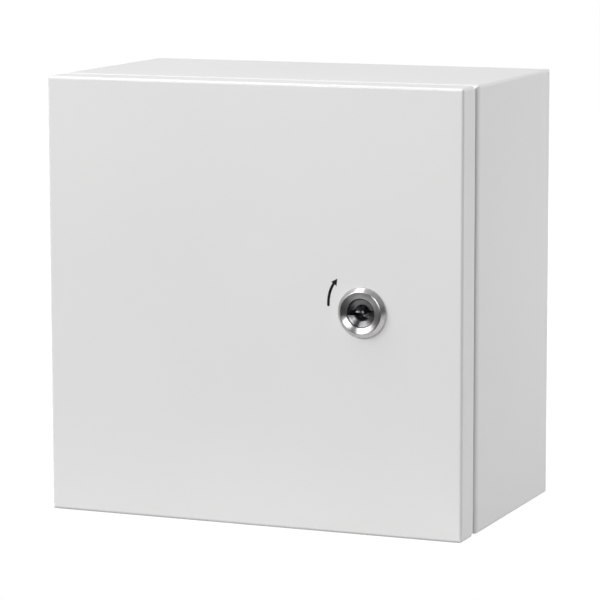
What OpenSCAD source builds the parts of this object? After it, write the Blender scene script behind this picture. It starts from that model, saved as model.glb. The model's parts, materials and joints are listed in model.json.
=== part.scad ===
// Wall-mounted sheet-steel enclosure with a full-face door, two concealed hinges and a quarter-turn lock.
// Millimetres. X runs right as seen from the front, Y runs towards the wall, Z runs up.
// The origin is the centre of the rear face, where the box meets the wall.
// Every module is drawn in the front frame, where Y is the depth behind the face of the door.

/* [Enclosure] */
// Overall width, which the door and the body share
box_w = 300; // [280:10:400]
// Overall height, which the door and the body share
box_h = 300; // [280:10:500]
// Depth from the face of the door to the wall
box_d = 180; // [160:5:260]
// Thickness of the body and door sheet
sheet_t = 1.5; // [1.2:0.1:2]

/* [Body] */
// Outer radius of the folded edges that run from front to back
edge_r = 2; // [2:0.5:3]
// Outer radius of the roll round the front of the body
roll_r = 7.5; // [5:0.5:8]
// Distance from the side of the body to the outside of the sealing lip
lip_inset = 21; // [20:0.5:24]
// Depth of the front edge of the sealing lip behind the face of the door
lip_front = 8; // [7:0.5:9]
// Depth of the rim of the rear panel, ahead of the wall
rear_rim = 8; // [6:1:12]

/* [Door] */
// Depth of the folded rim of the door
door_rim = 22.5; // [20:0.5:24]
// Open gap between the rim of the door and the floor of the channel
door_gap = 3.5; // [2.5:0.5:5]
// Outer radius of the folds round the face of the door
door_fold_r = 2; // [1.8:0.1:3]
// Radius of the four corners of the door
door_corner_r = 2.2; // [2:0.1:5]
// Radius at the ends of the rim, where two flanges meet
rim_end_r = 3.5; // [2.5:0.5:5]
// Width of the foamed gasket
gasket_w = 12; // [10:0.5:12.5]

/* [Hinges] */
// Distance of the pin from the hinge side of the box
pin_inset = 6.5; // [6:0.25:7]
// Depth of the pin behind the face of the door
pin_depth = 13; // [12:0.5:14]
// Radius of the pin
pin_r = 2; // [1.5:0.25:2.5]
// Height of each hinge above or below the middle of the box
hinge_offset = 95; // [70:5:110]
// Thickness of both leaves
leaf_t = 2; // [1.5:0.25:2.25]
// Height of each leaf
leaf_h = 56; // [50:2:70]

/* [Lock] */
// Distance of the lock from the opening side of the box
lock_inset = 70; // [60:5:90]
// Radius of the escutcheon
ring_r = 17; // [16:0.5:18]
// Height of the escutcheon above the door
ring_h = 4.6; // [4:0.2:5]
// Radius of the turned front of the core
core_r = 9.9; // [9:0.1:10]
// Radius of the keyhole
keyhole_r = 5.5; // [5:0.1:6]
// Width of the two slots that take the bits of the key
bit_slot_w = 4; // [3:0.1:5]
// Reach of the cam from the axis of the lock
cam_reach = 57; // [55:0.5:60]
// Gap between the cam and the back of the channel that it hooks behind
cam_gap = 2.3; // [1.8:0.1:2.5]
// Radial running clearance of everything that turns
running_gap = 0.05; // [0.02:0.01:0.09]

/* [Mounting plate] */
// Width of the mounting plate
plate_w = 245; // [200:5:245]
// Height of the mounting plate
plate_h = 250; // [200:5:250]
// Thickness of the mounting plate
plate_t = 2; // [1.5:0.5:3]
// Side of the square taken off each corner, clear of the wall screws
plate_notch = 16; // [14:1:20]
// Distance of the plate from the inside of the rear panel
plate_standoff = 15; // [10:1:20]
// Spacing of the plate studs across the box
plate_stud_x = 210; // [150:10:210]
// Spacing of the plate studs up the box
plate_stud_z = 200; // [150:10:210]

/* [Wall mounting] */
// Spacing of the wall holes, across and up
wall_pitch = 250; // [240:5:260]
// Radius of the wall holes
wall_hole_r = 4.25; // [3:0.25:5]

/* [Gland plate] */
// Width of the cable opening in the bottom
gland_w = 190; // [120:10:200]
// Depth of the cable opening in the bottom
gland_d = 90; // [60:5:90]

/* [Hidden] */
$fn = 64;
eps = 0.01;

// Colours of the finishes
paint = [0.86, 0.86, 0.85];
zinc = [0.74, 0.76, 0.78];
bright_steel = [0.82, 0.83, 0.84];
dark_chrome = [0.32, 0.32, 0.34];
foam = [0.16, 0.16, 0.17];

// Body: depths behind the face of the door
floor_y = door_rim + door_gap;
seam_y = box_d - rear_rim;
back_in_y = box_d - sheet_t;
lip_bend_r = 2 * sheet_t;
mitre = lip_inset + 2 * sheet_t;

// Gasket: centred on the lip, with a touch of air between the two
gasket_h = lip_front - 0.2 - sheet_t;
gasket_inset = lip_inset + sheet_t / 2;
gasket_corner_r = 8;
gasket_round = 2.5;

// Hinges: three knuckles to each, the middle one on the door
knuckle_r = pin_r + leaf_t;
knuckle_h = 12;
knuckle_outer_h = 10;
knuckle_gap = 0.3;
pin_x = -box_w / 2 + pin_inset;
lip_x = -box_w / 2 + lip_inset;
leaf_bend_r = leaf_t + 1;
leaf_hole_z = leaf_h / 2 - 7;
body_leaf_y = [pin_depth - knuckle_r + 0.2, floor_y - lip_bend_r + sheet_t - 0.5];
body_leaf_hole_y = 17.5;
door_leaf_x = [pin_x - knuckle_r + 0.2, -box_w / 2 + 14.5];
door_leaf_hole_x = -box_w / 2 + 10;
m4_r = 2;
m4_nut_r = 7 / sqrt(3);
m4_nut_h = 3.2;
m4_head_r = 3.6;

// Lock: heights are measured outwards from the face of the door
lock_x = box_w / 2 - lock_inset;
seal_t = 0.6;
bore_r = core_r + running_gap;
barrel_r = 11;
barrel_end = -24;
neck_r = 7;
neck_front = -20;
cam_t = 3;
cam_front = -(floor_y + sheet_t + cam_gap);
cam_square = 8;
cam_w = 13;
stop_r = 10.4;
stop_width = 30;
stop_h = 3;
washer_t = 1.2;

// Mounting plate and its studs
plate_y = back_in_y - plate_standoff - plate_t;
m8_r = 4;
plate_washer_t = 1.6;
m8_nut_h = 6.5;
plate_stud_end = plate_y - plate_washer_t - m8_nut_h - 3;

// Gland plate, which closes the opening in the bottom from inside
gland_y = (floor_y + seam_y) / 2;
gland_edge = 12;
gland_corner_r = 6;
gland_gasket_t = 2;
gland_t = 1.5;
floor_z = -box_h / 2 + sheet_t;
gland_stud_xs = [-gland_w / 2 + 5, 0, gland_w / 2 - 5];
gland_stud_ys = [gland_y - gland_d / 2 - gland_edge / 2, gland_y + gland_d / 2 + gland_edge / 2];
m5_r = 2.5;
m5_nut_h = 5;

// Earth studs
m6_r = 3;
m6_nut_h = 5;
earth_h = 15;
earth_body = [box_w / 2 - 30, floor_y + 24, floor_z];
earth_door = [box_w / 2 - 40, sheet_t, -box_h / 2 + 40];

// ---- Helpers ----

// Moves the front frame to the row's origin at the wall
module placed() translate([0, -box_d, 0]) children();

module rounded_rect(w, h, r) {
    square([w - 2 * r, h], center = true);
    square([w, h - 2 * r], center = true);
    for (x = [-1, 1], z = [-1, 1])
        translate([x * (w / 2 - r), z * (h / 2 - r)]) circle(r);
}

// Extrudes a shape drawn in X and Z backwards from y0 to y1
module along_y(y0, y1) translate([0, y1, 0]) rotate([90, 0, 0]) linear_extrude(y1 - y0) children();

// A quarter of a bent sheet, with its centre at c and lying on the side that dir points to
module sheet_bend(c, r_out, t, dir) {
    translate(c) intersection() {
        difference() {
            circle(r_out);
            circle(r_out - t);
        }
        translate([dir[0] > 0 ? 0 : -r_out, dir[1] > 0 ? 0 : -r_out]) square(r_out);
    }
}

// Section of a tub: flat front at y = 0 with two rounded edges
module tub_section(w, d, r) {
    translate([-w / 2 + r, 0]) square([w - 2 * r, d]);
    translate([-w / 2, r]) square([w, d - r]);
    for (x = [-1, 1]) translate([x * (w / 2 - r), r]) circle(r);
}

// Solid with the outline of a folded pan: corners of radius rc, folds of radius rf
module tub(w, h, d, rc, rf) {
    intersection() {
        along_y(0, d) rounded_rect(w, h, rc);
        linear_extrude(h, center = true) tub_section(w, d, rf);
        rotate([0, 90, 0]) linear_extrude(w, center = true) tub_section(h, d, rf);
    }
}

// Folded pan of sheet t, open towards +Y
module pan(w, h, d, rc, rf, t) {
    difference() {
        tub(w, h, d, rc, rf);
        translate([0, t, 0]) tub(w - 2 * t, h - 2 * t, d, rc - t, rf - t);
    }
}

// One mitred side of a frame: children() is its section, with X measured inwards from the side
module rail(across, length, y0, y1) {
    intersection() {
        linear_extrude(length, center = true) translate([across / 2, 0]) mirror([1, 0]) children();
        along_y(y0, y1) polygon([
            [across / 2, length / 2],
            [across / 2 - mitre, length / 2 - mitre],
            [across / 2 - mitre, -length / 2 + mitre],
            [across / 2, -length / 2]
        ]);
    }
}

module mitred_frame(y0, y1) {
    for (turn = [0, 180]) {
        rotate([0, turn, 0]) rail(box_w, box_h, y0, y1) children();
        rotate([0, turn + 90, 0]) rail(box_h, box_w, y0, y1) children();
    }
}

// Everything on the lock's axis: local Z points out of the door, local Y points up
module on_lock() translate([lock_x, 0, 0]) rotate([90, 0, 0]) children();

module hex_nut(flats_r, bore_r, h) {
    difference() {
        cylinder(r = flats_r, h = h, $fn = 6);
        translate([0, 0, -eps]) cylinder(r = bore_r, h = h + 2 * eps);
    }
}

module ring(r_out, r_in, h) {
    difference() {
        cylinder(r = r_out, h = h);
        translate([0, 0, -eps]) cylinder(r = r_in, h = h + 2 * eps);
    }
}

// A place at each mounting-plate stud, with local Z pointing forwards from depth y
module at_plate_studs(y) {
    for (x = [-1, 1], z = [-1, 1])
        translate([x * plate_stud_x / 2, y, z * plate_stud_z / 2]) rotate([90, 0, 0]) children();
}

module at_gland_studs(z) for (x = gland_stud_xs, y = gland_stud_ys) translate([x, y, z]) children();

module at_wall_holes() for (x = [-1, 1], z = [-1, 1]) translate([x, 0, z] * wall_pitch / 2) children();

// ---- Body ----

// Section of the body: side, front roll, channel floor, bend and sealing lip
module body_section() {
    translate([0, floor_y + roll_r]) square([sheet_t, seam_y - floor_y - roll_r]);
    sheet_bend([roll_r, floor_y + roll_r], roll_r, sheet_t, [-1, -1]);
    translate([roll_r, floor_y]) square([lip_inset - sheet_t - roll_r, sheet_t]);
    sheet_bend([lip_inset - sheet_t, floor_y - sheet_t], lip_bend_r, sheet_t, [1, 1]);
    translate([lip_inset, lip_front]) square([sheet_t, floor_y - sheet_t - lip_front]);
}

module body_wrap() {
    color(paint) placed() difference() {
        intersection() {
            mitred_frame(0, box_d) body_section();
            along_y(0, box_d) rounded_rect(box_w, box_h, edge_r);
        }
        translate([0, gland_y, -box_h / 2 - 1]) linear_extrude(sheet_t + 2)
            rounded_rect(gland_w, gland_d, gland_corner_r);
        for (side = [-1, 1], z = [-1, 1])
            translate([lip_x - 1, body_leaf_hole_y, side * hinge_offset + z * leaf_hole_z])
                rotate([0, 90, 0]) cylinder(r = m4_r + 0.15, h = sheet_t + 2);
    }
}

module rear_panel() {
    color(paint) placed() difference() {
        translate([0, box_d, 0]) mirror([0, 1, 0])
            pan(box_w, box_h, rear_rim, edge_r, edge_r, sheet_t);
        at_wall_holes() translate([0, box_d + 1, 0]) rotate([90, 0, 0])
            cylinder(r = wall_hole_r, h = sheet_t + 2);
    }
}

module mounting_plate() {
    color(zinc) placed() difference() {
        along_y(plate_y, plate_y + plate_t) difference() {
            square([plate_w, plate_h], center = true);
            for (x = [-1, 1], z = [-1, 1])
                translate([x * plate_w / 2, z * plate_h / 2]) square(2 * plate_notch, center = true);
        }
        at_plate_studs(plate_y + plate_t + 1) cylinder(r = m8_r + 0.25, h = plate_t + 2);
    }
}

module plate_studs() {
    color(zinc) placed() at_plate_studs(back_in_y) {
        cylinder(r = m8_r, h = back_in_y - plate_stud_end - 1);
        translate([0, 0, back_in_y - plate_stud_end - 1]) cylinder(r1 = m8_r, r2 = m8_r - 1, h = 1);
    }
}

module plate_spacers() color(zinc) placed() at_plate_studs(back_in_y) ring(6.5, m8_r, plate_standoff);

module plate_washers() color(zinc) placed() at_plate_studs(plate_y) ring(8, m8_r, plate_washer_t);

module plate_nuts() {
    color(zinc) placed() at_plate_studs(plate_y - plate_washer_t) hex_nut(13 / sqrt(3), m8_r, m8_nut_h);
}

module gland_outline() rounded_rect(gland_w + 2 * gland_edge, gland_d + 2 * gland_edge, gland_corner_r);

module gland_gasket() {
    color(foam) placed() difference() {
        translate([0, gland_y, floor_z]) linear_extrude(gland_gasket_t) difference() {
            gland_outline();
            rounded_rect(gland_w + 1, gland_d + 1, gland_corner_r);
        }
        at_gland_studs(floor_z - 1) cylinder(r = m5_r + 0.25, h = gland_gasket_t + 2);
    }
}

module gland_plate() {
    color(paint) placed() difference() {
        translate([0, gland_y, floor_z + gland_gasket_t]) linear_extrude(gland_t) gland_outline();
        at_gland_studs(floor_z) cylinder(r = m5_r + 0.25, h = gland_gasket_t + gland_t + 1);
    }
}

module gland_studs() {
    color(zinc) placed() at_gland_studs(floor_z)
        cylinder(r = m5_r, h = gland_gasket_t + gland_t + m5_nut_h + 3);
}

module gland_nuts() {
    color(zinc) placed() at_gland_studs(floor_z + gland_gasket_t + gland_t) {
        ring(5.5, m5_r, 1);
        translate([0, 0, 1]) hex_nut(8 / sqrt(3), m5_r, m5_nut_h - 1);
    }
}

// ---- Hinges ----

// Body leaf in plan: a plate on the outside of the lip, folded into an arm that holds the pin
module body_arm_plan() {
    bend_c = [lip_x - leaf_bend_r, body_leaf_y[0] + leaf_bend_r];
    difference() {
        union() {
            translate([pin_x, body_leaf_y[0]]) square([bend_c[0] - pin_x, leaf_t]);
            sheet_bend(bend_c, leaf_bend_r, leaf_t, [1, -1]);
            translate([lip_x - leaf_t, bend_c[1]]) square([leaf_t, 2]);
            translate([pin_x, pin_depth]) circle(knuckle_r);
        }
        translate([pin_x, pin_depth]) circle(pin_r);
    }
}

module hinge_leaf_body(side) {
    plate_y0 = body_leaf_y[0] + leaf_bend_r;
    color(zinc) placed() translate([0, 0, side * hinge_offset]) difference() {
        union() {
            for (up = [-1, 1])
                translate([0, 0, up * (knuckle_h / 2 + knuckle_gap + knuckle_outer_h / 2)])
                    linear_extrude(knuckle_outer_h, center = true) body_arm_plan();
            translate([lip_x - leaf_t, plate_y0, -leaf_h / 2])
                cube([leaf_t, body_leaf_y[1] - plate_y0, leaf_h]);
        }
        for (up = [-1, 1])
            translate([lip_x, body_leaf_hole_y, up * leaf_hole_z]) rotate([0, -90, 0])
                countersunk_hole();
    }
}

// Hole through a leaf from local Z = 0, opening into a countersink at the far face
module countersunk_hole() {
    translate([0, 0, -1]) cylinder(r = m4_r, h = leaf_t + 2);
    translate([0, 0, leaf_t - m4_head_r + m4_r]) cylinder(r1 = m4_r, r2 = m4_head_r, h = m4_head_r - m4_r);
    translate([0, 0, leaf_t]) cylinder(r = m4_head_r, h = 1);
}

module hinge_leaf_body_upper() hinge_leaf_body(1);
module hinge_leaf_body_lower() hinge_leaf_body(-1);

// Countersunk screws through the body leaves and the lip
module hinge_screws() {
    color(zinc) placed() for (side = [-1, 1], up = [-1, 1])
        translate([lip_x, body_leaf_hole_y, side * hinge_offset + up * leaf_hole_z])
            rotate([0, -90, 0]) difference() {
                union() {
                    translate([0, 0, -6]) cylinder(r = m4_r, h = 6 + leaf_t);
                    translate([0, 0, leaf_t - m4_head_r + m4_r])
                        cylinder(r1 = m4_r, r2 = m4_head_r, h = m4_head_r - m4_r);
                }
                translate([0, 0, leaf_t - 1.2]) cylinder(r = 1.5, h = 2, $fn = 6);
            }
}

module hinge_screw_nuts() {
    color(zinc) placed() for (side = [-1, 1], up = [-1, 1])
        translate([lip_x + sheet_t, body_leaf_hole_y, side * hinge_offset + up * leaf_hole_z])
            rotate([0, 90, 0]) hex_nut(m4_nut_r, m4_r, m4_nut_h);
}

module hinge_pin(side) {
    half = knuckle_h / 2 + knuckle_gap + knuckle_outer_h;
    color(bright_steel) placed() translate([pin_x, pin_depth, side * hinge_offset]) {
        translate([0, 0, -half - 1]) cylinder(r = pin_r, h = 2 * half + 1);
        translate([0, 0, half]) cylinder(r = pin_r + 1, h = 1.5);
    }
}

module hinge_pin_upper() hinge_pin(1);
module hinge_pin_lower() hinge_pin(-1);

// Door leaf in plan: a tongue folded up from the plate and rolled round the pin
module door_tongue_plan() {
    bend_c = [door_leaf_x[0] + leaf_bend_r, sheet_t + leaf_bend_r];
    difference() {
        union() {
            translate([bend_c[0], sheet_t]) square([door_leaf_x[1] - bend_c[0] - 2, leaf_t]);
            sheet_bend(bend_c, leaf_bend_r, leaf_t, [-1, -1]);
            translate([door_leaf_x[0], bend_c[1]]) square([leaf_t, pin_depth - bend_c[1]]);
            translate([pin_x, pin_depth]) circle(knuckle_r);
        }
        translate([pin_x, pin_depth]) circle(pin_r + running_gap);
    }
}

module hinge_leaf_door(side) {
    plate_x0 = door_leaf_x[0] + leaf_bend_r;
    plate_c = (plate_x0 + door_leaf_x[1]) / 2;
    color(zinc) placed() translate([0, 0, side * hinge_offset]) {
        linear_extrude(knuckle_h, center = true) door_tongue_plan();
        difference() {
            translate([plate_c, 0, 0]) along_y(sheet_t, sheet_t + leaf_t)
                square([door_leaf_x[1] - plate_x0, leaf_h], center = true);
            for (up = [-1, 1])
                translate([door_leaf_hole_x, 0, up * leaf_hole_z]) rotate([-90, 0, 0])
                    cylinder(r = m4_r + 0.15, h = 10);
        }
    }
}

module hinge_leaf_door_upper() hinge_leaf_door(1);
module hinge_leaf_door_lower() hinge_leaf_door(-1);

// A place at each weld stud that holds a door leaf, with local Z pointing backwards from depth y
module at_door_leaf_studs(y) {
    for (side = [-1, 1], up = [-1, 1])
        translate([door_leaf_hole_x, y, side * hinge_offset + up * leaf_hole_z])
            rotate([-90, 0, 0]) children();
}

module door_leaf_nuts() {
    color(zinc) placed() at_door_leaf_studs(sheet_t + leaf_t) hex_nut(m4_nut_r, m4_r, m4_nut_h);
}

// ---- Door ----

// Rounds the rear end of one flange where it meets the next, at the corner of a rim
module flange_end_cut() {
    translate([-door_corner_r, door_rim - rim_end_r, -rim_end_r]) rotate([0, 90, 0])
        linear_extrude(door_corner_r + 1) difference() {
            translate([-rim_end_r - 1, 0]) square(rim_end_r + 1);
            circle(rim_end_r);
        }
}

module rim_corner_cut() {
    flange_end_cut();
    mirror([1, 0, -1]) flange_end_cut();
}

module door_panel() {
    color(paint) placed() {
        difference() {
            pan(box_w, box_h, door_rim, door_corner_r, door_fold_r, sheet_t);
            on_lock() cylinder(r = barrel_r + 0.25, h = 4 * sheet_t, center = true);
            for (x = [0, 1], z = [0, 1]) mirror([x, 0, 0]) mirror([0, 0, z])
                translate([box_w / 2, 0, box_h / 2]) rim_corner_cut();
        }
        at_door_leaf_studs(sheet_t - 0.2) cylinder(r = m4_r, h = 0.2 + leaf_t + m4_nut_h + 1);
    }
}

// Section of the gasket, standing on Y = 0
module gasket_section() {
    translate([-gasket_w / 2, 0]) square([gasket_w, gasket_h - gasket_round]);
    translate([-gasket_w / 2 + gasket_round, 0]) square([gasket_w - 2 * gasket_round, gasket_h]);
    for (x = [-1, 1])
        translate([x * (gasket_w / 2 - gasket_round), gasket_h - gasket_round]) circle(gasket_round);
}

module door_gasket() {
    half_x = box_w / 2 - gasket_inset;
    half_z = box_h / 2 - gasket_inset;
    r = gasket_corner_r;
    color(foam) placed() translate([0, sheet_t, 0]) {
        for (x = [-1, 1])
            translate([x * half_x, 0, 0]) linear_extrude(2 * (half_z - r), center = true)
                gasket_section();
        for (z = [-1, 1])
            translate([0, 0, z * half_z]) rotate([0, 90, 0])
                linear_extrude(2 * (half_x - r), center = true) gasket_section();
        for (x = [0, 1], z = [0, 1]) mirror([x, 0, 0]) mirror([0, 0, z])
            translate([half_x - r, 0, half_z - r]) rotate([90, 0, 0]) mirror([0, 0, 1])
                rotate_extrude(angle = 90) translate([r, 0]) gasket_section();
    }
}

// ---- Earth studs ----

// Turns local Z to the direction a stud points: up off the floor, or back off the door
module at_earth(on_door) {
    translate(on_door ? earth_door : earth_body) rotate([on_door ? -90 : 0, 0, 0]) children();
}

module earth_stud(on_door) color(zinc) placed() at_earth(on_door) cylinder(r = m6_r, h = earth_h);

module earth_washer(on_door) color(zinc) placed() at_earth(on_door) ring(6, m6_r, washer_t);

module earth_nut(on_door) {
    color(zinc) placed() at_earth(on_door) translate([0, 0, washer_t])
        hex_nut(10 / sqrt(3), m6_r, m6_nut_h);
}

// ---- Lock ----

// Escutcheon, barrel and rear wall of the housing, as a half section of radius and height
module housing_section() {
    ridge_r = 0.83 * ring_r;
    polygon([
        [bore_r, ring_h - 0.7],
        [ridge_r - 0.4, ring_h],
        [ridge_r + 0.2, ring_h],
        [ridge_r + 0.6, ring_h - 0.3],
        [ring_r - 0.2, 1.5],
        [ring_r, 1.2],
        [ring_r, seal_t],
        [barrel_r, seal_t],
        [barrel_r, barrel_end],
        [neck_r + running_gap, barrel_end],
        [neck_r + running_gap, neck_front],
        [bore_r, neck_front]
    ]);
}

// The lug behind the barrel stops the core after a quarter turn
module lock_housing() {
    free = 90 + stop_width + 2;
    color(bright_steel) placed() on_lock() {
        rotate_extrude() housing_section();
        rotate([0, 0, 180 + stop_width / 2 + 1]) rotate_extrude(angle = 360 - free)
            translate([neck_r + 0.6, barrel_end - stop_h]) square([stop_r - neck_r - 0.6, stop_h + 1]);
    }
}

module lock_seal() color(foam) placed() on_lock() ring(ring_r - 0.8, barrel_r, seal_t);

module lock_nut() {
    color(zinc) placed() on_lock() translate([0, 0, -sheet_t - 5]) hex_nut(27 / sqrt(3), barrel_r, 5);
}

// Core: dished face, keyhole with two bit slots and a centre pin, stop tooth and squared tail
module lock_core() {
    face_edge = ring_h - 2;
    face_inner = 0.5;
    key_floor = -12;
    color(dark_chrome) placed() on_lock() {
        difference() {
            rotate_extrude() polygon([
                [0, face_inner],
                [keyhole_r, face_inner],
                [core_r - 0.5, face_edge],
                [core_r, face_edge],
                [core_r, neck_front + 0.1],
                [neck_r, neck_front + 0.1],
                [neck_r, cam_front],
                [0, cam_front]
            ]);
            translate([0, 0, key_floor]) cylinder(r = keyhole_r, h = 20);
            translate([-core_r + 0.6, -bit_slot_w / 2, key_floor])
                cube([2 * core_r - 1.2, bit_slot_w, 20]);
            translate([0, 0, cam_front - eps]) cylinder(r = m6_r, h = 6);
        }
        translate([0, 0, key_floor - eps]) cylinder(r = 1.75, h = -key_floor - 1.5);
        translate([0, 0, -1.5]) sphere(1.75);
        rotate([0, 0, 180 - stop_width / 2]) rotate_extrude(angle = stop_width)
            translate([neck_r - 0.5, barrel_end - stop_h]) square([stop_r - neck_r + 0.3, stop_h - 0.2]);
        translate([0, 0, cam_front - cam_t]) difference() {
            translate([-cam_square / 2, -cam_square / 2, 0]) cube([cam_square, cam_square, cam_t]);
            translate([0, 0, -eps]) cylinder(r = m6_r, h = cam_t + 2 * eps);
        }
    }
}

module lock_cam() {
    tip = cam_reach - cam_w / 2;
    color(zinc) placed() on_lock() translate([0, 0, cam_front - cam_t]) linear_extrude(cam_t)
        difference() {
            union() {
                circle(11);
                translate([-cam_w / 2, 0]) square([cam_w, tip]);
                translate([0, tip]) circle(cam_w / 2);
            }
            square(cam_square, center = true);
        }
}

module cam_washer() {
    color(zinc) placed() on_lock() translate([0, 0, cam_front - cam_t - washer_t])
        ring(8, m6_r, washer_t);
}

module cam_screw() {
    head = cam_front - cam_t - washer_t;
    color(zinc) placed() on_lock() {
        translate([0, 0, head]) cylinder(r = m6_r, h = cam_t + washer_t + 5);
        translate([0, 0, head - 4]) difference() {
            cylinder(r = 10 / sqrt(3), h = 4, $fn = 6);
            translate([0, 0, -1]) cylinder(r = 1, h = 2, $fn = 24);
        }
    }
}

// ---- Output ----

body_wrap();
rear_panel();
mounting_plate();
plate_studs();
plate_spacers();
plate_washers();
plate_nuts();
gland_gasket();
gland_plate();
gland_studs();
gland_nuts();
hinge_leaf_body_upper();
hinge_leaf_body_lower();
hinge_pin_upper();
hinge_pin_lower();
hinge_screws();
hinge_screw_nuts();
earth_stud(false);  // earth_stud_body
earth_washer(false);  // earth_washer_body
earth_nut(false);  // earth_nut_body
door_panel();
door_gasket();
hinge_leaf_door_upper();
hinge_leaf_door_lower();
door_leaf_nuts();
earth_stud(true);  // earth_stud_door
earth_washer(true);  // earth_washer_door
earth_nut(true);  // earth_nut_door
lock_housing();
lock_seal();
lock_nut();
lock_core();
lock_cam();
cam_washer();
cam_screw();
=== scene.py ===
"""Finishes, fine pieces and studio for a small wall enclosure of folded steel sheet.

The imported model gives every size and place, in metres: X to the right as seen from the front,
Y towards the wall and Z up. Each operator dresses one group of pieces, and the panel lists them.
"""

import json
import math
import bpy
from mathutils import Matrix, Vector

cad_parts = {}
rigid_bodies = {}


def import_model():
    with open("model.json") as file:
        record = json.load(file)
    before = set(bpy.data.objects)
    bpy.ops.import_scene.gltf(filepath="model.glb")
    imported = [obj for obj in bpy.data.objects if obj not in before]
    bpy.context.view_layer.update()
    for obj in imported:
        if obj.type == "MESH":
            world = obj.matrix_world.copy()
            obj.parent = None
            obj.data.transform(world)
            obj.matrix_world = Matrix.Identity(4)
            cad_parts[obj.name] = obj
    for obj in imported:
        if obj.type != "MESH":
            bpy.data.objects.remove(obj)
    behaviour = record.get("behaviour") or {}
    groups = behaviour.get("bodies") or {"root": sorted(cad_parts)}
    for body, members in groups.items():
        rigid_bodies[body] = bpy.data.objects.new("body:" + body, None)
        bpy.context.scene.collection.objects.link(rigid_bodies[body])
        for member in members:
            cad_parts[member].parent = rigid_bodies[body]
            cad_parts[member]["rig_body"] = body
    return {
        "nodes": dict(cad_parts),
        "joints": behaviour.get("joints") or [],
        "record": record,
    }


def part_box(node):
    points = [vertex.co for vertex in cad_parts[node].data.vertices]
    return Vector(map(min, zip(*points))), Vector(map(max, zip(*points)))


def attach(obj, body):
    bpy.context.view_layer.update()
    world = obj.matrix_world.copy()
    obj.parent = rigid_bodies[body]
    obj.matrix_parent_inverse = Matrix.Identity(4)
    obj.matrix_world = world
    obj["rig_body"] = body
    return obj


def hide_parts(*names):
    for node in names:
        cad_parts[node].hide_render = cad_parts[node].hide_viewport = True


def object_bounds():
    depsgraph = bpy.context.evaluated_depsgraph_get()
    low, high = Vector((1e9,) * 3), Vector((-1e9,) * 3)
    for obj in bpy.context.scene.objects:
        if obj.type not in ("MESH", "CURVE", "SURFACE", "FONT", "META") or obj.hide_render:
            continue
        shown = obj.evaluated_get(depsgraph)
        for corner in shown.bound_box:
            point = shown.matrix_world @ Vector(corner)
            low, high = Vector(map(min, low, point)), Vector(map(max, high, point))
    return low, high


bl_info = {
    "name": "Steel Wall Enclosure",
    "version": (1, 0, 0),
    "blender": (4, 5, 0),
    "location": "3D View > Sidebar > Enclosure",
    "description": "Powder coat, lock, seals, fasteners and studio for a steel wall enclosure",
    "category": "Object",
}

import bmesh
import bpy
from mathutils import Matrix, Vector

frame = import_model()
CAD_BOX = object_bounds()

MM = 0.001
NODES = frame["nodes"]
JOINTS = {joint["name"]: joint for joint in frame["joints"]}
FACE_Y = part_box("door_panel")[0].y
FLOOR_Z = CAD_BOX[0][2]
LOCK_CENTRE = Vector(JOINTS["lock_turn"]["pos_m"])

# Lock barrel, behind the door's face
BARREL_RADIUS = 11 * MM
BARREL_END = -24 * MM
NECK_FRONT = -20 * MM
NECK_BORE = 7.05 * MM
SEAL_THICKNESS = 0.6 * MM

# Lug behind the barrel, and the turn that it covers
LUG_INSIDE = 7.6 * MM
LUG_OUTSIDE = 10.4 * MM
LUG_EDGE = 0.2 * MM
LUG_TURN = (196, 434)


# ---------------------------------------------------------------- node trees


class Wire:
    """A socket of a node tree. Arithmetic on it adds Math nodes."""

    def __init__(self, tree, socket):
        self.tree = tree
        self.socket = socket

    def beside(self, name):
        """Another output of the same node."""
        return Wire(self.tree, self.socket.node.outputs[name])

    def _math(self, operation, first, second):
        return self.tree.node("ShaderNodeMath", {"operation": operation}, {0: first, 1: second})

    def __add__(self, other):
        return self._math("ADD", self, other)

    def __radd__(self, other):
        return self._math("ADD", other, self)

    def __sub__(self, other):
        return self._math("SUBTRACT", self, other)

    def __rsub__(self, other):
        return self._math("SUBTRACT", other, self)

    def __mul__(self, other):
        return self._math("MULTIPLY", self, other)

    def __rmul__(self, other):
        return self._math("MULTIPLY", other, self)

    def __pow__(self, other):
        return self._math("POWER", self, other)


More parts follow.
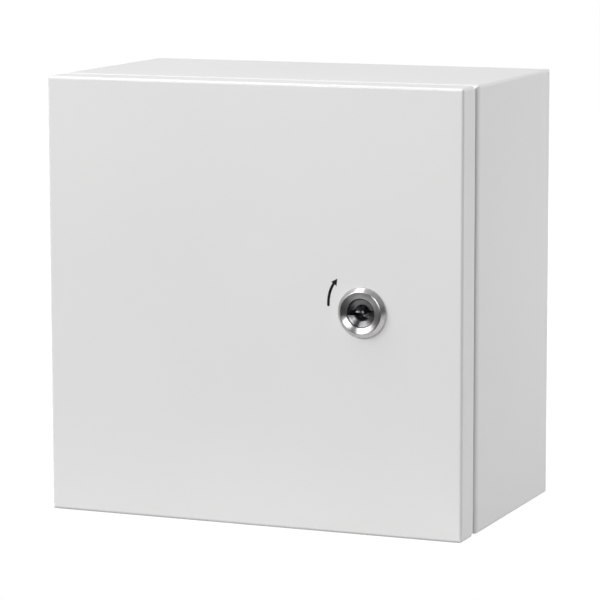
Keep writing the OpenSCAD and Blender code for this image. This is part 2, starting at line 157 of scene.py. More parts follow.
class NodeTree:
    """Builds a node tree from Python expressions."""

    def __init__(self, owner):
        owner.use_nodes = True
        self.tree = owner.node_tree
        self.tree.nodes.clear()

    def node(self, kind, settings=None, inputs=None, output=0):
        """Adds a node: its settings first, then the values or wires of its sockets."""
        made = self.tree.nodes.new(kind)
        for name, value in (settings or {}).items():
            if name == "stops":
                self._set_stops(made.color_ramp, value)
            else:
                setattr(made, name, value)
        for name, value in (inputs or {}).items():
            if isinstance(value, Wire):
                self.tree.links.new(value.socket, made.inputs[name])
            else:
                made.inputs[name].default_value = value
        return Wire(self, made.outputs[output]) if made.outputs else made

    @staticmethod
    def _set_stops(ramp, stops):
        while len(ramp.elements) < len(stops):
            ramp.elements.new(0.5)
        for element, (position, shade) in zip(ramp.elements, stops):
            element.position = position
            element.color = (shade, shade, shade, 1)

    def place(self):
        """Object coordinates, in metres."""
        return self.node("ShaderNodeTexCoord", output="Object")

    def noise(self, place, size, detail=2.0, roughness=0.5):
        """Noise whose features are about size metres across."""
        return self.node(
            "ShaderNodeTexNoise",
            inputs={"Vector": place, "Scale": 1 / size, "Detail": detail, "Roughness": roughness},
        )

    def mapped(self, value, low, high, to_low, to_high):
        """A value brought from one range to another."""
        return self.node(
            "ShaderNodeMapRange",
            inputs={0: value, 1: low, 2: high, 3: to_low, 4: to_high},
        )

    def mix(self, factor, first, second):
        """A colour between two others."""
        return self.node(
            "ShaderNodeMix", {"data_type": "RGBA"}, {0: factor, 6: first, 7: second}, output=2
        )

    def bump(self, height, distance):
        """Fine relief, in metres."""
        inputs = {"Height": height, "Distance": distance, "Strength": 1.0}
        return self.node("ShaderNodeBump", inputs=inputs)

    def surface(self, **sockets):
        """The Principled shader, with sockets named in words such as Base_Color."""
        named = {name.replace("_", " "): value for name, value in sockets.items()}
        shader = self.node("ShaderNodeBsdfPrincipled", inputs=named)
        self.node("ShaderNodeOutputMaterial", inputs={"Surface": shader})


def shaded(colour, factor):
    """A colour made lighter or darker, with its alpha."""
    return tuple(channel * factor for channel in colour[:3]) + (1.0,)


def axis_radius(tree, place):
    """Distance from the local Z axis of a piece."""
    x = tree.node("ShaderNodeSeparateXYZ", inputs={0: place})
    y = x.beside("Y")
    return (x * x + y * y) ** 0.5


# ---------------------------------------------------------------- materials


def powder_coat(paint):
    """Satin powder coat with a fine, even texture."""
    material = bpy.data.materials.new("powder_coat")
    tree = NodeTree(material)
    place = tree.place()
    grain = tree.noise(place, paint.grain, detail=3.0, roughness=0.6)
    peel = tree.noise(place, paint.grain * 3.5, detail=1.0)
    cloud = tree.noise(place, 0.11, detail=2.0)
    tone = tree.mapped(cloud, 0.3, 0.7, 0.0, 1.0)
    relief = grain * 0.6 + peel * 0.4
    tree.surface(
        Base_Color=tree.mix(tone, shaded(paint.colour, 0.99), shaded(paint.colour, 1.01)),
        Roughness=tree.mapped(grain, 0.3, 0.7, paint.roughness - 0.05, paint.roughness + 0.05),
        Normal=tree.bump(relief, paint.relief),
        Specular_IOR_Level=0.45,
    )
    return material


def zinc_plating(name, colour, roughness, spangle):
    """Zinc-plated or galvanised steel: crystals of slightly different tone, and faint handling marks."""
    if name in bpy.data.materials:
        return bpy.data.materials[name]
    material = bpy.data.materials.new(name)
    tree = NodeTree(material)
    place = tree.place()
    crystals = tree.node(
        "ShaderNodeTexVoronoi",
        {"feature": "F1", "distance": "EUCLIDEAN"},
        {"Vector": place, "Scale": 1 / spangle, "Randomness": 1.0},
        output="Color",
    )
    tone = tree.node("ShaderNodeRGBToBW", inputs={0: crystals})
    smudge = tree.noise(place, 0.02, detail=4.0)
    tree.surface(
        Base_Color=tree.mix(tone, shaded(colour, 0.86), shaded(colour, 1.08)),
        Metallic=1.0,
        Roughness=tree.mapped(tone * 0.5 + smudge * 0.5, 0.2, 0.8, roughness - 0.08, roughness + 0.1),
        Normal=tree.bump(tree.noise(place, 0.0012, detail=2.0), 0.00002),
    )
    return material


def turned_metal(name, colour, roughness, pitch, relief):
    """Plated metal with the fine rings that a lathe leaves, round the local Z axis of the piece."""
    material = bpy.data.materials.new(name)
    tree = NodeTree(material)
    place = tree.place()
    radius = axis_radius(tree, place)
    uneven = tree.noise(place, 4 * MM, detail=2.0)
    ring = tree.node("ShaderNodeMath", {"operation": "SINE"}, {0: radius * (math.tau / pitch)})
    tree.surface(
        Base_Color=tree.mix(uneven, shaded(colour, 0.93), shaded(colour, 1.04)),
        Metallic=1.0,
        Anisotropic=0.85,
        Anisotropic_Rotation=0.25,
        Roughness=tree.mapped(uneven, 0.3, 0.7, roughness, roughness + 0.05),
        Normal=tree.bump(ring, relief),
    )
    return material


def make_metals(metal):
    """The plated and bright finishes, by slot."""
    return {
        "galvanised_plate": zinc_plating("galvanised_sheet", metal.galvanised, 0.4, metal.spangle),
        "zinc_hardware": zinc_plating("zinc_hardware", metal.zinc, 0.3, 0.8 * MM),
        "bright_steel": zinc_plating("ground_steel", metal.bright, 0.22, 0.5 * MM),
    }


def foam(name, colour):
    """Closed-cell foam seal with a matt, slightly dimpled skin."""
    material = bpy.data.materials.new(name)
    tree = NodeTree(material)
    place = tree.place()
    cells = tree.noise(place, 0.0009, detail=3.0)
    swell = tree.noise(place, 0.012, detail=1.0)
    tree.surface(
        Base_Color=tree.mix(cells, shaded(colour, 0.8), shaded(colour, 1.3)),
        Roughness=tree.mapped(cells, 0.2, 0.8, 0.8, 0.95),
        Normal=tree.bump(cells * 0.5 + swell, 0.0003),
    )
    return material


def ink(colour):
    """Black printing ink, thin and slightly glossy."""
    material = bpy.data.materials.new("arrow_ink")
    tree = NodeTree(material)
    grain = tree.noise(tree.place(), 0.0006, detail=2.0)
    tree.surface(
        Base_Color=tree.mix(grain, shaded(colour, 0.7), shaded(colour, 1.4)),
        Roughness=tree.mapped(grain, 0.3, 0.7, 0.6, 0.7),
        Specular_IOR_Level=0.15,
    )
    return material


# ---------------------------------------------------------------- meshes


def mesh_from(name, points, faces):
    """A mesh from lists of points and faces, with its normals pointing outwards."""
    shape = bmesh.new()
    verts = [shape.verts.new(point) for point in points]
    for face in faces:
        shape.faces.new([verts[index] for index in face])
    return finished_mesh(name, shape)


def finished_mesh(name, shape):
    """Closes seams, turns the normals outwards and makes the mesh."""
    bmesh.ops.remove_doubles(shape, verts=shape.verts, dist=0.1e-6)
    bmesh.ops.recalc_face_normals(shape, faces=shape.faces)
    mesh = bpy.data.meshes.new(name)
    shape.to_mesh(mesh)
    shape.free()
    return mesh


def add_object(name, data, place=None):
    """Puts a mesh, a lamp or a camera in the scene."""
    made = bpy.data.objects.new(name, data)
    bpy.context.scene.collection.objects.link(made)
    if place is not None:
        made.matrix_world = place
    return made


def smooth(mesh, degrees=30):
    """Shades a mesh smooth, except across its edges."""
    mesh.polygons.foreach_set("use_smooth", [True] * len(mesh.polygons))
    mesh.set_sharp_from_angle(angle=math.radians(degrees))


def apply_modifiers(made):
    """Replaces the mesh of an object by the one that its modifiers make."""
    bpy.context.view_layer.update()
    evaluated = made.evaluated_get(bpy.context.evaluated_depsgraph_get())
    mesh = bpy.data.meshes.new_from_object(evaluated)
    made.modifiers.clear()
    made.data = mesh


def fit_piece(piece, material, body, slot, replaced=()):
    """Gives a finished piece its material and its body, and hides the nodes that it stands for. The slot is
    not used.
    """
    piece.data.materials.clear()
    piece.data.materials.append(material)
    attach(piece, body)
    if replaced:
        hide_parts(*replaced)
    return piece


def slab(name, outline, depth):
    """Extrudes an outline of (x, z) pairs from y = 0 to y = depth."""
    count = len(outline)
    points = [(x, y, z) for y in (0, depth) for x, z in outline]
    faces = [list(range(count)), list(range(2 * count - 1, count - 1, -1))]
    for index in range(count):
        after = (index + 1) % count
        faces.append([index, after, count + after, count + index])
    return mesh_from(name, points, faces)


def revolved(rows, steps, closed=True):
    """Rings of points joined into a skin. Each row is a function of the turn that gives (radius, height)."""
    points, faces = [], []
    count = len(rows)
    for step in range(steps):
        turn = math.tau * step / steps
        for row in rows:
            r, h = row(turn)
            points.append((r * math.cos(turn), r * math.sin(turn), h))
    for step in range(steps):
        here, there = step * count, (step + 1) % steps * count
        for index in range(count if closed else count - 1):
            after = (index + 1) % count
            faces.append([here + index, here + after, there + after, there + index])
    return points, faces


def lathe(name, profile, steps):
    """Turns a closed profile of (radius, height) pairs round the local Z axis."""
    rows = [lambda turn, corner=corner: corner for corner in profile]
    return mesh_from(name, *revolved(rows, steps))


def hex_nut(flats, bore, height, flange=0.0):
    """A nut with chamfered corners and bore, standing on z = 0, over a round flange if it has one."""
    apothem, chamfer, lead = flats / 2, flats * 0.475, 0.35 * MM
    low = 1 * MM if flange else 0.0

    def corner(turn):
        return apothem / math.cos((turn + math.pi / 6) % (math.pi / 3) - math.pi / 6)

    def drop(turn):
        return max(0.0, (corner(turn) - chamfer) * 0.58)

    rows = [lambda turn: (bore, height - lead), lambda turn: (bore + lead, height)]
    rows += [lambda turn: (chamfer, height), lambda turn: (corner(turn), height - drop(turn))]
    if flange:
        rows += [lambda turn: (corner(turn), low + 0.5 * MM)]
        rows += [lambda turn: (flange - 0.6 * MM, low + 0.1 * MM)]
        rows += [lambda turn: (flange, low - 0.4 * MM), lambda turn: (flange, 0.0)]
    else:
        rows += [lambda turn: (corner(turn), drop(turn)), lambda turn: (chamfer, 0.0)]
    rows += [lambda turn: (bore + lead, 0.0), lambda turn: (bore, lead)]
    return revolved(rows, 48)


def threaded_rod(radius, pitch, length, steps=24):
    """A rod with a real helical thread, from z = 0, tapered at its far end."""
    depth = 0.6 * pitch
    levels = int(length / pitch * 4)
    rows = []
    for level in range(levels + 1):
        z = length * level / levels

        def row(turn, z=z):
            phase = (z / pitch - turn / math.tau) % 1
            cut = depth * (1 - abs(2 * phase - 1))
            return min(radius - cut, radius - depth * 1.1 + length - z), z

        rows.append(row)
    points, faces = revolved(rows, steps, closed=False)
    count = levels + 1
    faces.append([step * count for step in range(steps)])
    faces.append([step * count + levels for step in range(steps)])
    return points, faces


def islands(name):
    """Boxes of the separate solids in a CAD node, in order of place."""
    shape = bmesh.new()
    shape.from_mesh(NODES[name].data)
    bmesh.ops.remove_doubles(shape, verts=shape.verts, dist=1e-6)
    seen, boxes = set(), []
    for start in shape.verts:
        if start in seen:
            continue
        seen.add(start)
        group, queue = [], [start]
        while queue:
            vert = queue.pop()
            group.append(vert.co.copy())
            for edge in vert.link_edges:
                other = edge.other_vert(vert)
                if other not in seen:
                    seen.add(other)
                    queue.append(other)
        low = Vector(min(point[axis] for point in group) for axis in range(3))
        high = Vector(max(point[axis] for point in group) for axis in range(3))
        boxes.append((low, high))
    shape.free()
    return sorted(boxes, key=lambda box: tuple(round(value, 5) for value in box[0]))


TURNS = {
    "+X": Matrix.Rotation(math.pi / 2, 4, "Y"),
    "-Y": Matrix.Rotation(math.pi / 2, 4, "X"),
    "+Y": Matrix.Rotation(-math.pi / 2, 4, "X"),
    "+Z": Matrix.Identity(4),
}


def stand(box, way):
    """Frame at the foot of a box, with local Z along a way such as "-Y"."""
    low, high = box
    foot = (low + high) / 2
    axis = "XYZ".index(way[1])
    foot[axis] = low[axis] if way[0] == "+" else high[axis]
    return Matrix.Translation(foot) @ TURNS[way]


def repeated(node, solid, way):
    """One mesh with a copy of a solid at each solid of a CAD node."""
    points, faces = [], []
    for box in islands(node):
        place, offset = stand(box, way), len(points)
        points += [place @ Vector(point) for point in solid[0]]
        faces += [[index + offset for index in face] for face in solid[1]]
    mesh = mesh_from(node, points, faces)
    smooth(mesh, 28)
    return mesh


def break_edges(piece, width):
    """Rounds the sharp edges of a piece and shades it."""
    bevel = piece.modifiers.new("edges", "BEVEL")
    bevel.width = width
    bevel.segments = 2
    bevel.limit_method = "ANGLE"
    bevel.angle_limit = math.radians(40)
    apply_modifiers(piece)
    smooth(piece.data, 35)


def softened(node, width):
    """A copy of a CAD piece with its sharp edges broken."""
    copy = add_object(node + "_finished", NODES[node].data.copy())
    shape = bmesh.new()
    shape.from_mesh(copy.data)
    bmesh.ops.remove_doubles(shape, verts=shape.verts, dist=1e-6)
    bmesh.ops.dissolve_limit(
        shape, angle_limit=math.radians(1), verts=shape.verts, edges=shape.edges
    )
    shape.to_mesh(copy.data)
    shape.free()
    break_edges(copy, width)
    return copy


def dress(names, material):
    """Gives CAD pieces their material."""
    for name in names:
        node = NODES[name]
        node.data.materials.clear()
        node.data.materials.append(material)


def rod_for(node, radius, pitch, way):
    """A threaded rod as long as the solids of a CAD node."""
    low, high = islands(node)[0]
    return threaded_rod(radius, pitch, (high - low)["XYZ".index(way[1])])


SLOTS = {part["node"]: part["material_slot"] for part in frame["record"]["subparts"]}
BODIES = {name: node["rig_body"] for name, node in NODES.items()}
FASTENERS = {
    "plate_studs": (rod_for("plate_studs", 4 * MM, 1.25 * MM, "-Y"), "-Y"),
    "plate_nuts": (hex_nut(13 * MM, 4 * MM, 6.5 * MM), "-Y"),
    "gland_studs": (rod_for("gland_studs", 2.5 * MM, 0.8 * MM, "+Z"), "+Z"),
    "gland_nuts": (hex_nut(8 * MM, 2.5 * MM, 5 * MM, flange=5.5 * MM), "+Z"),
    "hinge_screw_nuts": (hex_nut(7 * MM, 2 * MM, 3.2 * MM), "+X"),
    "door_leaf_nuts": (hex_nut(7 * MM, 2 * MM, 3.2 * MM), "+Y"),
    "earth_stud_body": (rod_for("earth_stud_body", 3 * MM, 1 * MM, "+Z"), "+Z"),
    "earth_nut_body": (hex_nut(10 * MM, 3 * MM, 5 * MM), "+Z"),
    "earth_stud_door": (rod_for("earth_stud_door", 3 * MM, 1 * MM, "+Y"), "+Y"),
    "earth_nut_door": (hex_nut(10 * MM, 3 * MM, 5 * MM), "+Y"),
    "lock_nut": (hex_nut(27 * MM, 11 * MM, 5 * MM), "+Y"),
}


# ---------------------------------------------------------------- settings


class EnclosurePaint(bpy.types.PropertyGroup):
    """Finish of the painted sheet."""

    colour: bpy.props.FloatVectorProperty(
        name="Colour", description="Light grey of the powder coat", subtype="COLOR",
        size=3, min=0, max=1, default=(0.735, 0.735, 0.73),
    )
    roughness: bpy.props.FloatProperty(
        name="Roughness", description="Satin sheen of the coat", default=0.42, min=0.1, max=0.9,
    )
    grain: bpy.props.FloatProperty(
        name="Grain", description="Width of the grains of the texture", subtype="DISTANCE",
        unit="LENGTH", default=0.9 * MM, min=0.2 * MM, max=4 * MM,
    )
    relief: bpy.props.FloatProperty(
        name="Relief", description="Height of the grains", subtype="DISTANCE", unit="LENGTH",
        default=0.03 * MM, min=0, max=0.2 * MM,
    )


class EnclosureMetal(bpy.types.PropertyGroup):
    """Finishes of the plated and bright fittings."""

    galvanised: bpy.props.FloatVectorProperty(
        name="Mounting plate", description="Colour of the galvanised sheet", subtype="COLOR",
        size=3, min=0, max=1, default=(0.62, 0.64, 0.65),
    )
    zinc: bpy.props.FloatVectorProperty(
        name="Fasteners", description="Colour of the zinc plating", subtype="COLOR",
        size=3, min=0, max=1, default=(0.66, 0.67, 0.68),
    )
    bright: bpy.props.FloatVectorProperty(
        name="Hinge pins", description="Colour of the ground steel", subtype="COLOR",
        size=3, min=0, max=1, default=(0.7, 0.7, 0.71),
    )
    spangle: bpy.props.FloatProperty(
        name="Spangle", description="Width of the zinc crystals on the mounting plate",
        subtype="DISTANCE", unit="LENGTH", default=7 * MM, min=1 * MM,
    )


class EnclosureSeals(bpy.types.PropertyGroup):
    """Finish of the foam seals."""

    colour: bpy.props.FloatVectorProperty(
        name="Foam", description="Colour of the foam", subtype="COLOR",
        size=3, min=0, max=1, default=(0.03, 0.03, 0.032),
    )


class EnclosureLock(bpy.types.PropertyGroup):
    """Turned parts of the lock."""

    bore: bpy.props.FloatProperty(
        name="Bore", description="Radius of the hole that the core turns in", subtype="DISTANCE",
        unit="LENGTH", default=9.95 * MM,
    )
    edge: bpy.props.FloatProperty(
        name="Edge", description="Width of the broken edges of the core", subtype="DISTANCE",
        unit="LENGTH", default=0.28 * MM, min=0.02 * MM, max=0.4 * MM,
    )
    bright: bpy.props.FloatVectorProperty(
        name="Escutcheon", description="Colour of the turned escutcheon", subtype="COLOR",
        size=3, min=0, max=1, default=(0.56, 0.555, 0.55),
    )
    dark: bpy.props.FloatVectorProperty(
        name="Core", description="Colour of the dark core", subtype="COLOR",
        size=3, min=0, max=1, default=(0.15, 0.147, 0.152),
    )


class EnclosureArrow(bpy.types.PropertyGroup):
    """Arrow beside the lock: places are across and up from the middle of the door."""

    tail: bpy.props.FloatVectorProperty(
        name="Tail", description="Round end of the stroke", size=2, unit="LENGTH",
        default=(55.8 * MM, 3.9 * MM),
    )
    bend: bpy.props.FloatVectorProperty(
        name="Bend", description="Point that the stroke bends towards", size=2, unit="LENGTH",
        default=(55.5 * MM, 12.1 * MM),
    )
    neck: bpy.props.FloatVectorProperty(
        name="Neck", description="End of the stroke, inside the head", size=2, unit="LENGTH",
        default=(59.6 * MM, 18.4 * MM),
    )
    left_barb: bpy.props.FloatVectorProperty(
        name="Left barb", description="Left corner of the head", size=2, unit="LENGTH",
        default=(57.6 * MM, 19.4 * MM),
    )
    tip: bpy.props.FloatVectorProperty(
        name="Tip", description="Tip of the head", size=2, unit="LENGTH",
        default=(62.2 * MM, 21.8 * MM),
    )
    right_barb: bpy.props.FloatVectorProperty(
        name="Right barb", description="Right corner of the head", size=2, unit="LENGTH",
        default=(61.5 * MM, 16.6 * MM),
    )
    stroke: bpy.props.FloatProperty(
        name="Stroke", description="Width of the stroke", subtype="DISTANCE", unit="LENGTH",
        default=1.9 * MM, min=0.2 * MM,
    )
    colour: bpy.props.FloatVectorProperty(
        name="Ink", description="Colour of the printing ink", subtype="COLOR",
        size=3, min=0, max=1, default=(0.006, 0.006, 0.006),
    )


class EnclosureStudio(bpy.types.PropertyGroup):
    """Camera and lamps."""

    azimuth: bpy.props.FloatProperty(
        name="Azimuth", description="Turn of the camera to the right of the front",
        subtype="ANGLE", unit="ROTATION", default=math.radians(22.36),
    )
    elevation: bpy.props.FloatProperty(
        name="Elevation", description="Tilt of the camera downwards",
        subtype="ANGLE", unit="ROTATION", default=math.radians(8.43),
    )
    roll: bpy.props.FloatProperty(
        name="Roll", description="Turn of the picture about its centre",
        subtype="ANGLE", unit="ROTATION", default=math.radians(-0.11),
    )
    camera_place: bpy.props.FloatVectorProperty(
        name="Camera place", description="Where the camera stands", subtype="TRANSLATION",
        size=3, default=(0.848, -2.1553, 0.3226),
    )
    lens: bpy.props.FloatProperty(
        name="Lens", description="Focal length in millimetres on a 36 mm sensor",
        default=194.95, min=20, max=400,
    )
    key_power: bpy.props.FloatProperty(
        name="Key lamp", description="Power of the large lamp in front, to the left",
        subtype="POWER", unit="POWER", default=40.0, min=0,
    )
    front_power: bpy.props.FloatProperty(
        name="Front lamp", description="Power of the lamp in front, beside the camera",
        subtype="POWER", unit="POWER", default=25.5, min=0,
    )
    low_power: bpy.props.FloatProperty(
        name="Low lamp", description="Power of the small lamp near the floor on the right",
        subtype="POWER", unit="POWER", default=0.5, min=0,
    )
    top_power: bpy.props.FloatProperty(
        name="Top lamp", description="Power of the lamp overhead",
        subtype="POWER", unit="POWER", default=10.5, min=0,
    )
    right_power: bpy.props.FloatProperty(
        name="Right lamp", description="Power of the small lamp above the right side",
        subtype="POWER", unit="POWER", default=0.5, min=0,
    )
    rear_power: bpy.props.FloatProperty(
        name="Rear lamp", description="Power of the large lamp behind the right side",
        subtype="POWER", unit="POWER", default=40.0, min=0,
    )
    right_dim: bpy.props.FloatProperty(
        name="Right dimming", description="Share of the sky's light that is left on the right",
        default=0.15, min=0, max=1,
    )
    sky: bpy.props.FloatProperty(
        name="Sky", description="Strength of the even light from all round", default=0.64, min=0,
    )


# ---------------------------------------------------------------- operators


class ENCLOSURE_OT_sheet_metal(bpy.types.Operator):
    """Coat the folded sheet pieces and galvanise the mounting plate"""

    bl_idname = "enclosure.sheet_metal"
    bl_label = "Sheet metal"

    def execute(self, context):
        coat = powder_coat(context.scene.enclosure_paint)
        dress(["body_wrap", "rear_panel", "gland_plate", "door_panel"], coat)
        galvanised = make_metals(context.scene.enclosure_metal)["galvanised_plate"]
        dress(["mounting_plate"], galvanised)
        return {"FINISHED"}


class ENCLOSURE_OT_fittings(bpy.types.Operator):
    """Break the edges of the hinges, spacers, washers and cam"""

    bl_idname = "enclosure.fittings"
    bl_label = "Fittings"

    def execute(self, context):
        metals = make_metals(context.scene.enclosure_metal)
        for name, slot in SLOTS.items():
            if slot in metals and name not in FASTENERS and name != "mounting_plate":
                width = 0.35 * MM if name == "lock_cam" else 0.2 * MM
                fit_piece(softened(name, width), metals[slot], BODIES[name], slot, [name])
        return {"FINISHED"}


class ENCLOSURE_OT_fasteners(bpy.types.Operator):
    """Cut the threads of the studs and the chamfers of the nuts"""

    bl_idname = "enclosure.fasteners"
    bl_label = "Studs and nuts"

    def execute(self, context):
        metals = make_metals(context.scene.enclosure_metal)
        for name, (solid, way) in FASTENERS.items():
            piece = add_object(name + "_cut", repeated(name, solid, way))
            fit_piece(piece, metals[SLOTS[name]], BODIES[name], SLOTS[name], [name])
        return {"FINISHED"}


class ENCLOSURE_OT_seals(bpy.types.Operator):
    """Finish the foam seals"""

    bl_idname = "enclosure.seals"
    bl_label = "Foam seals"

    def execute(self, context):
        seals = context.scene.enclosure_seals
        dress(["door_gasket", "gland_gasket", "lock_seal"], foam("foam_seal", seals.colour))
        return {"FINISHED"}


class ENCLOSURE_OT_lock(bpy.types.Operator):
    """Turn the escutcheon and the core of the lock"""

    bl_idname = "enclosure.lock"
    bl_label = "Lock"

    def execute(self, context):
        lock = context.scene.enclosure_lock
        self.axis = Matrix.Translation((LOCK_CENTRE.x, FACE_Y, LOCK_CENTRE.z)) @ Matrix.Rotation(
            math.pi / 2, 4, "X"
        )
        self.make_escutcheon(lock)
        self.make_core(lock)
        return {"FINISHED"}

    def make_escutcheon(self, lock):
        low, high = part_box("lock_housing")
        radius = (high.x - low.x) / 2
        height = FACE_Y - low.y
        ridge = 0.83 * radius
        bore = lock.bore
        profile = [
            (bore, NECK_FRONT),
            (bore, height - 0.95 * MM),
            (bore + 0.1 * MM, height - 0.78 * MM),
            (bore + 0.25 * MM, height - 0.7 * MM),
        ]
        profile += [(ridge - 0.5 * MM, height - 0.05 * MM), (ridge - 0.25 * MM, height)]
        profile += [(ridge + 0.1 * MM, height), (ridge + 0.4 * MM, height - 0.12 * MM)]
        profile += [(ridge + 0.62 * MM, height - 0.35 * MM), (radius - 0.3 * MM, 1.62 * MM)]
        profile += [(radius - 0.08 * MM, 1.35 * MM), (radius, 1.1 * MM), (radius, 0.7 * MM)]
        profile += [(radius - 0.1 * MM, SEAL_THICKNESS), (BARREL_RADIUS, SEAL_THICKNESS)]
        profile += [(BARREL_RADIUS, BARREL_END), (NECK_BORE, BARREL_END), (NECK_BORE, NECK_FRONT)]
        mesh = lathe("escutcheon", profile, 128)
        smooth(mesh, 25)
        bright = turned_metal("turned_chrome", lock.bright, 0.27, 0.5 * MM, 0.0008 * MM)
        ring = add_object("escutcheon", mesh, self.axis)
        fit_piece(ring, bright, "door", "turned_chrome", ["lock_housing"])
        lug = mesh_from("stop_lug", *self.stop_lug(BARREL_END, FACE_Y - high.y))
        smooth(lug, 30)
        fit_piece(add_object("stop_lug", lug, self.axis), bright, "door", "turned_chrome")

    def stop_lug(self, root, tip):
        """The arc behind the barrel that the tooth of the core meets after a quarter turn."""
        (first, last), steps = (math.radians(turn) for turn in LUG_TURN), 40
        near, far = LUG_INSIDE + LUG_EDGE, LUG_OUTSIDE - LUG_EDGE
        rows = [(near, root + 0.5 * MM), (far, root + 0.5 * MM), (LUG_OUTSIDE, root + LUG_EDGE)]
        rows += [(LUG_OUTSIDE, tip + LUG_EDGE), (far, tip), (near, tip), (LUG_INSIDE, tip + LUG_EDGE)]
        rows += [(LUG_INSIDE, root + LUG_EDGE)]
        points, faces, count = [], [], len(rows)
        for step in range(steps + 1):
            turn = first + (last - first) * step / steps
            points += [(r * math.cos(turn), r * math.sin(turn), h) for r, h in rows]
        for step in range(steps):
            for index in range(count):
                here, after = step * count + index, step * count + (index + 1) % count
                faces.append([here, after, after + count, here + count])
        faces += [list(range(count))[::-1], [steps * count + index for index in range(count)]]
        return points, faces

    def make_core(self, lock):
        core = add_object("key_core", NODES["lock_core"].data.copy())
        shape = bmesh.new()
        shape.from_mesh(core.data)
        bmesh.ops.remove_doubles(shape, verts=shape.verts, dist=1e-6)
        bmesh.ops.transform(shape, matrix=self.axis.inverted(), verts=shape.verts)
        shape.to_mesh(core.data)
        shape.free()
        core.matrix_world = self.axis
        break_edges(core, lock.edge)
        dark = turned_metal("dark_chrome", lock.dark, 0.22, 0.7 * MM, 0.0015 * MM)
        fit_piece(core, dark, "lock", "dark_chrome", ["lock_core"])


class ENCLOSURE_OT_arrow(bpy.types.Operator):
    """Print the arrow that shows which way the key turns"""

    bl_idname = "enclosure.arrow"
    bl_label = "Turning arrow"

    def execute(self, context):
        arrow = context.scene.enclosure_arrow
        tail, bend, neck, tip = (Vector(point) for point in (arrow.tail, arrow.bend, arrow.neck, arrow.tip))
        half = arrow.stroke / 2
        steps = 16
        spine, sides = [], []
        for step in range(steps + 1):
            t = step / steps
            spine.append((1 - t) ** 2 * tail + 2 * t * (1 - t) * bend + t * t * neck)
            way = (2 * (1 - t) * (bend - tail) + 2 * t * (neck - bend)).normalized()
            sides.append(Vector((-way.y, way.x)))
        left = [point + side * half for point, side in zip(spine, sides)]
        right = [point - side * half for point, side in zip(spine, sides)]
        away = (tail - bend).normalized()
        across = sides[0]
        cap = []
        for step in range(1, 8):
            turn = math.pi * step / 8
            cap.append(tail + half * (math.cos(turn) * across + math.sin(turn) * away))
        head = [Vector(arrow.left_barb), tip, Vector(arrow.right_barb)]
        outline = left + head + right[::-1] + cap[::-1]
        mesh = slab("turning_arrow", [tuple(point) for point in outline], -0.03 * MM)
        place = Matrix.Translation((0, FACE_Y - 0.005 * MM, 0))
        fit_piece(add_object("turning_arrow", mesh, place), ink(arrow.colour), "door", "powder_coat")
        return {"FINISHED"}


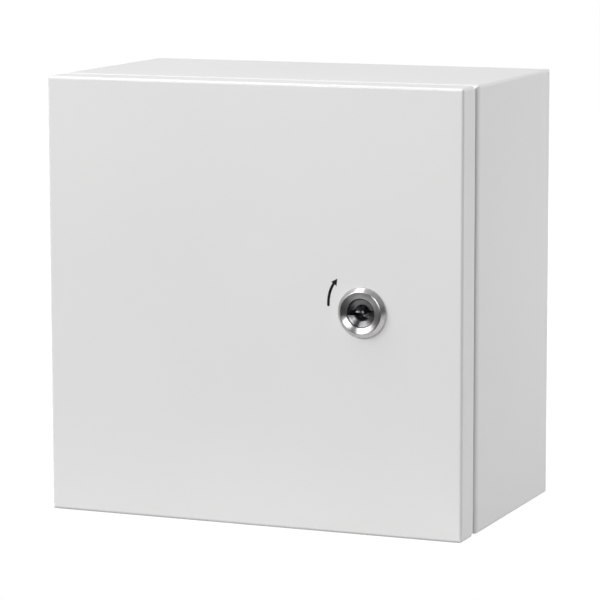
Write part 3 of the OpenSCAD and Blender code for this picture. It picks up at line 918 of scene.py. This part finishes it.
class ENCLOSURE_OT_studio(bpy.types.Operator):
    """Set up the floor, the lamps, the sky and the camera"""

    bl_idname = "enclosure.studio"
    bl_label = "Studio"

    def execute(self, context):
        studio = context.scene.enclosure_studio
        self.make_floor()
        self.make_sky(studio)
        self.make_lamp("key_lamp", (-1.3, -2.1, 1.3), 1.7, studio.key_power)
        self.make_lamp("front_lamp", (0.62, -2.45, 0.7), 1.0, studio.front_power)
        self.make_lamp("top_lamp", (-0.75, -0.35, 1.8), 0.8, studio.top_power)
        self.make_lamp("right_lamp", (1.1, 0.1, 1.2), 0.45, studio.right_power)
        self.make_lamp("rear_lamp", (2.0, 1.9, 0.8), 1.0, studio.rear_power)
        self.make_lamp("low_lamp", (0.9, 0.3, -0.08), 0.12, studio.low_power)
        self.make_camera(context, studio)
        context.scene.view_settings.view_transform = "Standard"
        return {"FINISHED"}

    def make_floor(self):
        mesh_data = bmesh.new()
        corners = [(-12, -0.32), (12, -0.32), (12, 25), (-12, 25)]
        mesh_data.faces.new([mesh_data.verts.new((x, y, FLOOR_Z)) for x, y in corners])
        mesh = bpy.data.meshes.new("floor")
        mesh_data.to_mesh(mesh)
        mesh_data.free()
        floor = add_object("floor", mesh)
        material = bpy.data.materials.new("floor_white")
        tree = NodeTree(material)
        seen = tree.node("ShaderNodeLightPath", output="Is Camera Ray")
        direct = seen + seen.beside("Is Glossy Ray") + seen.beside("Is Transmission Ray")
        plain = tree.node("ShaderNodeBsdfDiffuse", inputs={"Color": (0.26, 0.26, 0.26, 1)})
        shadow = tree.node("ShaderNodeBsdfDiffuse", inputs={"Color": (0.16, 0.16, 0.16, 1)})
        glow = tree.node("ShaderNodeEmission", inputs={"Color": (1, 1, 1, 1), "Strength": 0.92})
        white = tree.node("ShaderNodeAddShader", inputs={0: shadow, 1: glow})
        final = tree.node("ShaderNodeMixShader", inputs={0: direct, 1: plain, 2: white})
        tree.node("ShaderNodeOutputMaterial", inputs={"Surface": final})
        mesh.materials.append(material)

    def make_sky(self, studio):
        """White where the camera looks; elsewhere light from above and dimmer at the horizon."""
        world = bpy.data.worlds.new("studio")
        bpy.context.scene.world = world
        tree = NodeTree(world)
        way = tree.node("ShaderNodeTexCoord", output="Generated")
        split = tree.node("ShaderNodeSeparateXYZ", inputs={0: way})
        height = split.beside("Z")
        dim = tree.mapped(split * 0.71 - split.beside("Y") * 0.71, -0.1, 0.8, 1.0, studio.right_dim)
        shade = tree.node(
            "ShaderNodeValToRGB",
            {"stops": [(0.0, 0.3), (0.5, 0.3), (0.62, 0.8), (1.0, 1.25)]},
            {0: height * 0.5 + 0.5},
        ) * dim
        seen = tree.node("ShaderNodeLightPath", output="Is Camera Ray")
        around = tree.node("ShaderNodeBackground", inputs={"Color": shade, "Strength": studio.sky})
        white = tree.node("ShaderNodeBackground", inputs={"Color": (1, 1, 1, 1), "Strength": 1.0})
        final = tree.node("ShaderNodeMixShader", inputs={0: seen, 1: around, 2: white})
        tree.node("ShaderNodeOutputWorld", inputs={"Surface": final})

    def make_lamp(self, name, place, size, power):
        data = bpy.data.lights.new(name, "AREA")
        data.shape = "SQUARE"
        data.size = size
        data.energy = power
        lamp = add_object(name, data)
        target = Vector((0, FACE_Y / 2, 0))
        aim = (target - Vector(place)).to_track_quat("-Z", "Y")
        lamp.matrix_world = Matrix.Translation(place) @ aim.to_matrix().to_4x4()

    def make_camera(self, context, studio):
        data = bpy.data.cameras.new("camera")
        data.lens = studio.lens
        data.sensor_width = 36
        camera = add_object("camera", data)
        camera.matrix_world = (
            Matrix.Translation(studio.camera_place)
            @ Matrix.Rotation(studio.azimuth, 4, "Z")
            @ Matrix.Rotation(math.pi / 2 - studio.elevation, 4, "X")
            @ Matrix.Rotation(studio.roll, 4, "Z")
        )
        context.scene.camera = camera


OPERATORS = (
    ENCLOSURE_OT_sheet_metal,
    ENCLOSURE_OT_fittings,
    ENCLOSURE_OT_fasteners,
    ENCLOSURE_OT_seals,
    ENCLOSURE_OT_lock,
    ENCLOSURE_OT_arrow,
    ENCLOSURE_OT_studio,
)
GROUPS = {
    "enclosure_paint": EnclosurePaint,
    "enclosure_metal": EnclosureMetal,
    "enclosure_seals": EnclosureSeals,
    "enclosure_lock": EnclosureLock,
    "enclosure_arrow": EnclosureArrow,
    "enclosure_studio": EnclosureStudio,
}


class ENCLOSURE_PT_panel(bpy.types.Panel):
    """Sizes, colours and steps of the enclosure"""

    bl_idname = "ENCLOSURE_PT_panel"
    bl_label = "Steel Wall Enclosure"
    bl_space_type = "VIEW_3D"
    bl_region_type = "UI"
    bl_category = "Enclosure"

    def draw(self, context):
        column = self.layout.column()
        for group, kind in GROUPS.items():
            for name in kind.__annotations__:
                column.prop(getattr(context.scene, group), name)
        for operator in OPERATORS:
            column.operator(operator.bl_idname)


CLASSES = (*GROUPS.values(), *OPERATORS, ENCLOSURE_PT_panel)


def register():
    for item in CLASSES:
        bpy.utils.register_class(item)
    for group, kind in GROUPS.items():
        setattr(bpy.types.Scene, group, bpy.props.PointerProperty(type=kind))


def unregister():
    for group in GROUPS:
        delattr(bpy.types.Scene, group)
    for item in reversed(CLASSES):
        bpy.utils.unregister_class(item)


def main():
    register()
    for operator in OPERATORS:
        group, name = operator.bl_idname.split(".")
        getattr(getattr(bpy.ops, group), name)()


if __name__ == "__main__":
    main()
